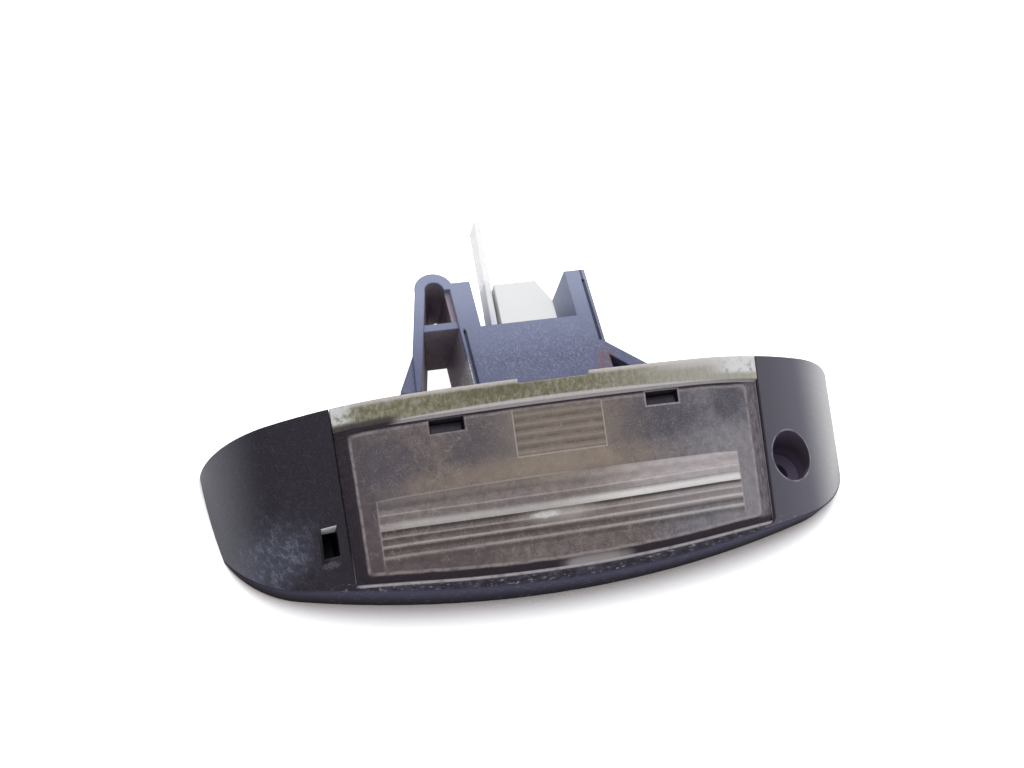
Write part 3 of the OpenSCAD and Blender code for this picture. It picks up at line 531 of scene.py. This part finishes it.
    # Painted highlight along the edge of the nose and down the two lower corners, uneven
    bright = s.mul(s.line(nose, 0.35, 0.8), s.ramp(s.noise(0.4, 3), 0.3, 0.5, 0.6, 1.0))
    corner = s.mul(s.line(side, 0.2, 0.35), s.ramp(s.y, -24.0, -31.0), 0.5)
    right_edge_highlight = s.mul(s.line(side, 0.25, 0.4), s.ramp(s.x, 0.0, 1.0), 0.35)
    bright = s.math("MAXIMUM", s.math("MAXIMUM", bright, corner), right_edge_highlight)
    colour = s.mix(bright, colour, tone(196, 188, 194))

    # Only the flanges let a little light through
    clear = s.mul(flange, s.sub(1.0, band), 0.2)
    rough = s.ramp(flange, 0.0, 1.0, 0.42, 0.20)
    rough = s.math("MAXIMUM", rough, s.mul(band, 0.34))
    relief = s.mul(ribs, s.math("SINE", s.mul(bent, 2 * math.pi / RIBS_PITCH)))
    relief = s.add(s.mul(relief, 0.5), s.mul(field, wave, 0.3))
    normal = s.bump(relief, 0.5, 0.0002, s.rounded(0.0004))
    normal = s.bump(s.add(s.noise(0.5, 4, 0.6), s.mul(fine, 0.25)), 0.35, 0.0004, normal)
    grimy = s.principled(Base_Color=colour, Roughness=rough, Normal=normal, IOR=1.49, Coat_Weight=0.2,
                         Coat_Roughness=0.12)
    through = s.node("ShaderNodeBsdfTransparent").outputs[0]
    both = s.node("ShaderNodeMixShader")
    s.feed(both.inputs[0], clear)
    s.feed(both.inputs[1], grimy)
    s.feed(both.inputs[2], through)
    s.surface(both.outputs[0])
    return s.material


def holder_material():
    """White plastic with a thin see-through tab, and painted shade on its left side."""
    s = Shader("white_plastic")
    colour = s.mix(s.noise(0.6, 3), tone(236, 238, 240), tone(246, 247, 248))
    foot = s.mul(s.ramp(s.y, 19.0, 15.8), s.ramp(s.noise(1.2, 4), 0.35, 0.6), 0.5)
    colour = s.mix(foot, colour, tone(206, 224, 228))
    # Painted shade on the left side of the holder
    left = s.mul(s.ramp(s.x, -5.4, -5.9), s.ramp(s.y, 24.0, 19.0), 0.7)
    colour = s.mix(left, colour, tone(178, 182, 196))
    tab = s.ramp(s.y, 27.5, 30.0)
    colour = s.mix(tab, colour, tone(226, 226, 230))
    normal = s.bump(s.noise(2.0, 3), 0.15, 0.0001, s.rounded(0.0003))
    solid = s.principled(Base_Color=colour, Roughness=0.38, Normal=normal, IOR=1.5, Subsurface_Weight=0.15,
                         Subsurface_Radius=(0.002, 0.002, 0.002))
    through = s.node("ShaderNodeBsdfTransparent").outputs[0]
    both = s.node("ShaderNodeMixShader")
    s.feed(both.inputs[0], s.mul(tab, 0.45))
    s.feed(both.inputs[1], solid)
    s.feed(both.inputs[2], through)
    s.surface(both.outputs[0])
    return s.material


def seal_material():
    s = Shader("seal_rubber")
    colour = s.mix(s.noise(1.0, 4), tone(22, 22, 24), tone(44, 42, 42))
    normal = s.bump(s.noise(3.0, 3), 0.3, 0.0001)
    s.surface(s.principled(Base_Color=colour, Roughness=0.8, Normal=normal))
    return s.material


def glass_material():
    s = Shader("bulb_glass")
    rough = s.ramp(s.noise(0.6, 3), 0.3, 0.7, 0.02, 0.12)
    s.surface(s.principled(Base_Color=(0.95, 0.97, 0.98, 1.0), Roughness=rough, IOR=1.5,
                           Transmission_Weight=0.95))
    return s.material


def wire_material(name, dark, pale, metallic):
    s = Shader(name)
    colour = s.mix(s.noise(2.5, 4, 0.6), dark, pale)
    normal = s.bump(s.noise(8.0, 2, 0.5, s.stretched(0.3, 2.0, 1.0)), 0.3, 0.00005, s.rounded(0.0001))
    rough = s.ramp(s.noise(1.5), 0.3, 0.7, 0.25, 0.5)
    s.surface(s.principled(Base_Color=colour, Metallic=metallic, Roughness=rough, Normal=normal))
    return s.material


def floor_material():
    """White table, washed out like an overexposed one, but shaded close to what stands on it."""
    s = Shader("white_table")
    colour = s.mix(s.noise(0.02, 3), (0.88, 0.86, 0.86, 1.0), (0.92, 0.90, 0.90, 1.0))
    near = s.node("ShaderNodeAmbientOcclusion", samples=8)
    near.inputs["Distance"].default_value = SHADE_REACH
    open_sky = near.outputs["AO"]
    # Painted shadow, brownish, where the lamp stands close; painted shade under the lamp, where the release
    # slot looks through the hollow shell down on the table
    shaded_under = s.mul(s.within(s.x, -54.0, 54.0, 1.5), s.within(s.y, -26.0, -2.5, 1.5))
    colour = s.mix(s.ramp(open_sky, 0.75, 0.35), colour, (0.58, 0.44, 0.42, 1.0))
    colour = s.mix(shaded_under, colour, (0.10, 0.09, 0.10, 1.0))
    path = s.node("ShaderNodeLightPath")
    seen = s.math("MAXIMUM", path.outputs["Is Camera Ray"], path.outputs["Is Transmission Ray"])
    seen = s.math("MAXIMUM", seen, s.mul(path.outputs["Is Glossy Ray"], 0.15))
    # Behind the lamp the table shows no shade
    bare = s.math("MAXIMUM", s.ramp(open_sky, 0.35, 0.95), s.ramp(s.y, -2.0, 5.0))
    glow = s.mul(bare, s.sub(1.0, shaded_under), seen)
    s.surface(s.principled(Base_Color=colour, Roughness=0.6, Emission_Color=(0.97, 0.98, 1.0, 1.0),
                           Emission_Strength=glow))
    return s.material


def put_on(node, material):
    """Dresses a CAD node without touching its mesh."""
    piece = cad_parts[node]
    piece.data.materials.clear()
    piece.data.materials.append(material)


def dress_nodes():
    put_on("housing", housing_material())
    put_on("lens", lens_material())
    put_on("lens_seal", seal_material())
    put_on("bulb_holder", holder_material())
    put_on("bulb_glass", glass_material())
    wire = wire_material("filament_wire", tone(70, 70, 76), tone(110, 110, 118), 0.9)
    put_on("filament", wire)
    lead = wire_material("lead_wire", tone(140, 140, 146), tone(190, 190, 196), 1.0)
    put_on("lead_front", lead)
    put_on("lead_back", lead)
    brass = wire_material("contact_brass", tone(176, 140, 74), tone(212, 178, 104), 1.0)
    put_on("contact_front", brass)
    put_on("contact_back", brass)


def add_floor():
    mesh = bpy.data.meshes.new("floor")
    grid = bmesh.new()
    bmesh.ops.create_grid(grid, x_segments=8, y_segments=8, size=FLOOR_HALF)
    grid.to_mesh(mesh)
    grid.free()
    floor = bpy.data.objects.new("floor", mesh)
    floor.location = (0.0, 0.0, -FLOOR_GAP)
    mesh.materials.append(floor_material())
    bpy.context.collection.objects.link(floor)


def add_world():
    """White room: dim overhead, brighter low down and towards the right."""
    world = bpy.data.worlds.new("room")
    bpy.context.scene.world = world
    world.use_nodes = True
    tree = world.node_tree
    tree.nodes.clear()
    coords = tree.nodes.new("ShaderNodeTexCoord")
    split = tree.nodes.new("ShaderNodeSeparateXYZ")
    tree.links.new(coords.outputs["Generated"], split.inputs[0])
    steps = []
    for output, low, high, dim, bright in (UP_LIGHT, RIGHT_LIGHT):
        step = tree.nodes.new("ShaderNodeMapRange")
        step.interpolation_type = "SMOOTHSTEP"
        tree.links.new(split.outputs[output], step.inputs["Value"])
        if low > high:
            low, high, dim, bright = high, low, bright, dim
        for key, value in (("From Min", low), ("From Max", high), ("To Min", dim), ("To Max", bright)):
            step.inputs[key].default_value = value
        steps.append(step.outputs["Result"])
    product = tree.nodes.new("ShaderNodeMath")
    product.operation = "MULTIPLY"
    tree.links.new(steps[0], product.inputs[0])
    tree.links.new(steps[1], product.inputs[1])
    room = tree.nodes.new("ShaderNodeBackground")
    room.inputs["Color"].default_value = (0.96, 0.98, 1.0, 1.0)
    tree.links.new(product.outputs[0], room.inputs["Strength"])
    seen = tree.nodes.new("ShaderNodeBackground")
    seen.inputs["Color"].default_value = (1.0, 1.0, 1.0, 1.0)
    seen.inputs["Strength"].default_value = 1.0
    path = tree.nodes.new("ShaderNodeLightPath")
    both = tree.nodes.new("ShaderNodeMixShader")
    tree.links.new(path.outputs["Is Camera Ray"], both.inputs[0])
    tree.links.new(room.outputs[0], both.inputs[1])
    tree.links.new(seen.outputs[0], both.inputs[2])
    out = tree.nodes.new("ShaderNodeOutputWorld")
    tree.links.new(both.outputs[0], out.inputs["Surface"])


def add_lamp(name, place, size, power, colour):
    data = bpy.data.lights.new(name, "AREA")
    data.shape = "SQUARE"
    data.size = size
    data.energy = power
    data.color = colour
    lamp = bpy.data.objects.new(name, data)
    lamp.location = place
    lamp.rotation_euler = (-Vector(place)).to_track_quat("-Z", "Y").to_euler()
    bpy.context.collection.objects.link(lamp)


add_camera()
bpy.context.scene.view_settings.view_transform = "Standard"
dress_nodes()
add_floor()
add_world()
for lamp in LAMPS:
    add_lamp(*lamp)
